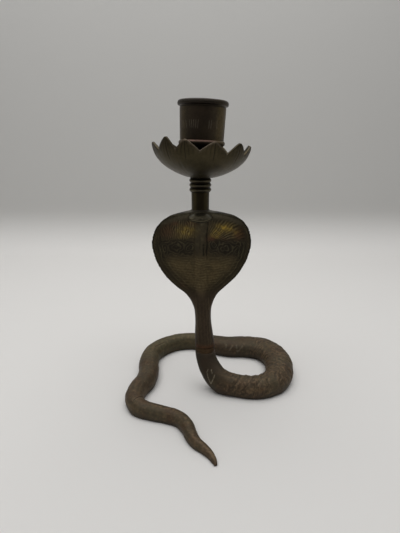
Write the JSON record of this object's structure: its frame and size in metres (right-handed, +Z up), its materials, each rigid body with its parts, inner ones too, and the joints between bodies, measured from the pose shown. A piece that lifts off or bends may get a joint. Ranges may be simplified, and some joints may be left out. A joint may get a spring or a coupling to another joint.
{
  "type": "cobra candle holder",
  "caption": "Brass candle holder: a coiled cobra with spread hood carries a turned post, a ringed collar, a lotus drip pan and a cup that unscrews.",
  "frame": {"origin": "on the table, in the middle of the holder's footprint", "axes": "+Z up, the snake faces -Y, and the closed side of the coil lies towards +X"},
  "size_m": [0.1124, 0.1328, 0.1785],
  "materials": {
    "coil_brass": "cast, chased and darkly patinated",
    "hood_brass": "cast, engraved and darkly patinated with a gold sheen",
    "turned_brass": "turned, hand-engraved and darkly patinated",
    "braze": "coppery brazing metal, filed"
  },
  "bodies": {
    "holder": {"coil_casting": "coil_brass", "neck_braze": "braze", "hood_casting": "hood_brass", "post_braze": "braze", "post": "turned_brass", "ringed_collar": "turned_brass"},
    "pan": {"drip_pan": "turned_brass"},
    "cup": {"candle_cup": "turned_brass"}
  },
  "joints": [
    {"name": "pan_lift", "type": "slide", "parent": "holder", "child": "pan", "axis": [0.0384, 0, 0.9993], "range_m": [0, 0.00625]},
    {"name": "cup_screw", "type": "hinge", "parent": "pan", "child": "cup", "pos_m": [-0.00933, 0.00667, 0.1364], "axis": [0.0384, 0, 0.9993], "range_deg": [0, 1800]}
  ],
  "couplings": [
    {"joint": "cup_screw", "follows": "pan_lift", "rad_per_m": 5026.5}
  ]
}
